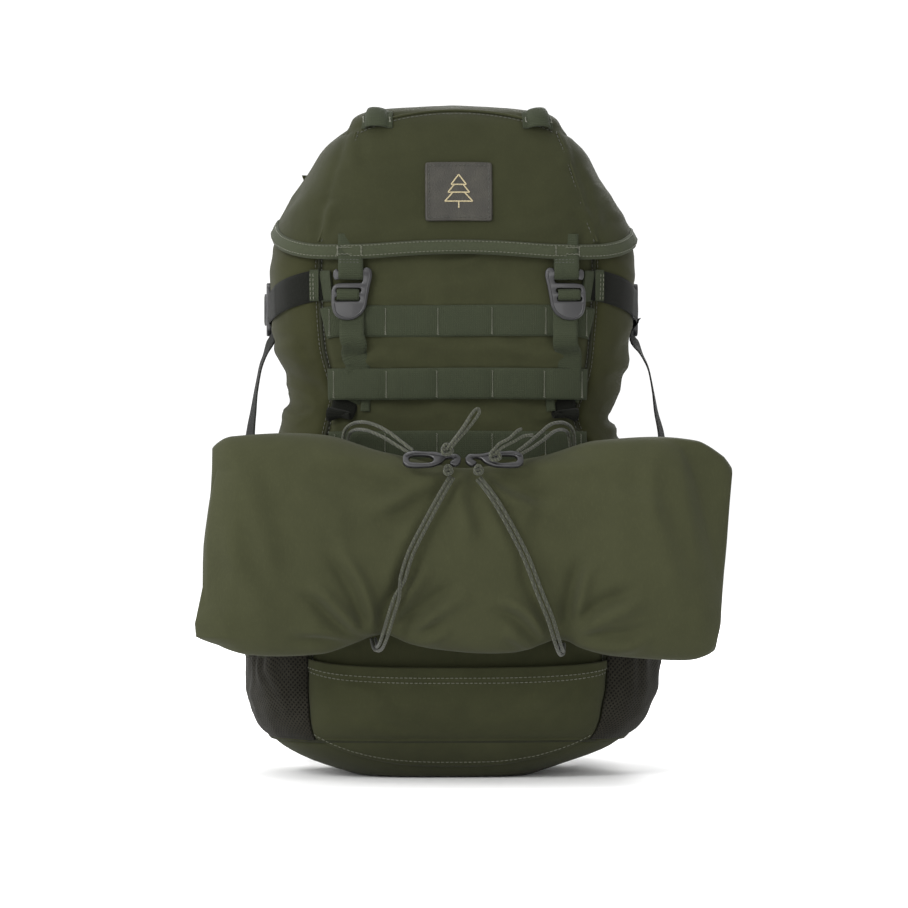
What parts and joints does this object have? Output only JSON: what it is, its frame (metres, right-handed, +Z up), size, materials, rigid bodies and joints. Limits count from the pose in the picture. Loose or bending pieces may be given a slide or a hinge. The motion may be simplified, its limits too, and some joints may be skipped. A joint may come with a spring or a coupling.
{
  "type": "hunting backpack",
  "caption": "Field backpack with a hooded lid on G-shaped hooks, load webbing, side pockets, elastic cords holding a folded garment, harness and hip belt.",
  "frame": {"origin": "middle of the flat base that the pack stands on", "axes": "+Z up, the decorated front faces -Y, the harness and the wearer's back are at +Y"},
  "size_m": [0.426, 0.4057, 0.5463],
  "materials": {
    "pack_cloth": "matte woven cloth, olive",
    "side_cloth": "matte woven cloth, browner olive",
    "garment_cloth": "smooth matte cloth",
    "webbing": "ribbed woven webbing",
    "dark_webbing": "ribbed woven webbing, dark",
    "mesh": "open knitted mesh",
    "moulded_plastic": "satin moulded plastic",
    "zip_tape": "coil zip on woven tape",
    "frame_plastic": "smooth sheet plastic",
    "stay_metal": "brushed aluminium bar",
    "badge_leather": "grained leather patch",
    "elastic": "braided elastic cord"
  },
  "bodies": {
    "bag": {"front_panel": "pack_cloth", "base_panel": "pack_cloth", "back_panel": "pack_cloth", "collar": "pack_cloth", "front_pocket": "pack_cloth", "side_panel_left": "side_cloth", "side_panel_right": "side_cloth", "roll": "garment_cloth", "pals_row_1": "webbing", "pals_row_2": "webbing", "pals_row_3": "webbing", "hook_strap_left": "webbing", "hook_strap_right": "webbing", "lower_webbing_left": "webbing", "lower_webbing_right": "webbing", "compression_strap_left": "dark_webbing", "compression_strap_right": "dark_webbing", "strap_tail_left": "dark_webbing", "strap_tail_right": "dark_webbing", "mesh_pocket_left": "mesh", "mesh_pocket_right": "mesh", "back_pad_left": "mesh", "back_pad_right": "mesh", "lumbar_pad": "mesh", "side_zip": "zip_tape", "frame_sheet": "frame_plastic", "frame_stay_left": "stay_metal", "frame_stay_right": "stay_metal", "elastic_cord_upper_left": "elastic", "elastic_cord_upper_right": "elastic", "elastic_cord_lower_left": "elastic", "elastic_cord_lower_right": "elastic"},
    "lid": {"lid_hood": "pack_cloth", "lid_binding": "webbing", "lid_badge": "badge_leather", "lid_zip_tape": "zip_tape", "lid_pocket": "mesh", "lid_tab_left": "webbing", "lid_tab_right": "webbing", "lid_loop_left": "webbing", "lid_loop_right": "webbing"},
    "lid_slider": {"lid_zip_slider": "moulded_plastic"},
    "zip_slider": {"side_zip_slider": "moulded_plastic"},
    "haul": {"haul_loop": "webbing"},
    "g_hook_l": {"g_hook_left": "moulded_plastic"},
    "g_hook_r": {"g_hook_right": "moulded_plastic"},
    "buckle_l": {"side_buckle_left": "moulded_plastic"},
    "buckle_r": {"side_buckle_right": "moulded_plastic"},
    "cord_hook_l": {"cord_hook_left": "moulded_plastic"},
    "cord_hook_r": {"cord_hook_right": "moulded_plastic"},
    "harness": {"shoulder_strap_left": "mesh", "shoulder_strap_right": "mesh", "strap_adjuster_left": "moulded_plastic", "strap_adjuster_right": "moulded_plastic", "chest_buckle_socket": "moulded_plastic"},
    "chest_plug": {"chest_buckle_plug": "moulded_plastic"},
    "hip_l": {"hip_wing_left": "mesh", "hip_buckle_socket": "moulded_plastic"},
    "hip_r": {"hip_wing_right": "mesh", "hip_buckle_plug": "moulded_plastic"}
  },
  "joints": [
    {"name": "lid_hinge", "type": "hinge", "parent": "bag", "child": "lid", "pos_m": [0, 0.074, 0.491], "axis": [-1, 0, 0], "range_deg": [0, 110]},
    {"name": "lid_zip", "type": "slide", "parent": "lid", "child": "lid_slider", "axis": [1, 0, 0], "range_m": [0, 0.14]},
    {"name": "side_zip_run", "type": "slide", "parent": "bag", "child": "zip_slider", "axis": [0, 0, 1], "range_m": [0, 0.12]},
    {"name": "haul_loop_hinge", "type": "hinge", "parent": "bag", "child": "haul", "pos_m": [0, 0.078, 0.462], "axis": [1, 0, 0], "range_deg": [0, 35]},
    {"name": "hook_slide_l", "type": "slide", "parent": "bag", "child": "g_hook_l", "axis": [0, 0, -1], "range_m": [0, 0.024]},
    {"name": "buckle_tilt_l", "type": "hinge", "parent": "bag", "child": "buckle_l", "pos_m": [-0.1516, 0.028, 0.381], "axis": [0, 0, 1], "range_deg": [-35, 0]},
    {"name": "cord_hook_pull_l", "type": "slide", "parent": "bag", "child": "cord_hook_l", "axis": [0, -1, 0], "range_m": [0, 0.012], "stiffness_N_per_m": 250},
    {"name": "hook_slide_r", "type": "slide", "parent": "bag", "child": "g_hook_r", "axis": [0, 0, -1], "range_m": [0, 0.024]},
    {"name": "buckle_tilt_r", "type": "hinge", "parent": "bag", "child": "buckle_r", "pos_m": [0.1516, 0.028, 0.381], "axis": [0, 0, 1], "range_deg": [0, 35]},
    {"name": "cord_hook_pull_r", "type": "slide", "parent": "bag", "child": "cord_hook_r", "axis": [0, -1, 0], "range_m": [0, 0.012], "stiffness_N_per_m": 250},
    {"name": "harness_swing", "type": "hinge", "parent": "bag", "child": "harness", "pos_m": [0, 0.078, 0.436], "axis": [1, 0, 0], "range_deg": [0, 20]},
    {"name": "chest_release", "type": "slide", "parent": "harness", "child": "chest_plug", "axis": [1, 0, 0], "range_m": [0, 0.03]},
    {"name": "hip_wing_l_hinge", "type": "hinge", "parent": "bag", "child": "hip_l", "pos_m": [-0.104, 0.09, 0.058], "axis": [0, 0, 1], "range_deg": [0, 50]},
    {"name": "hip_wing_r_hinge", "type": "hinge", "parent": "bag", "child": "hip_r", "pos_m": [0.104, 0.09, 0.058], "axis": [0, 0, 1], "range_deg": [-50, 0]}
  ],
  "couplings": [
    {"joint": "hip_wing_r_hinge", "follows": "hip_wing_l_hinge", "ratio": -1}
  ]
}
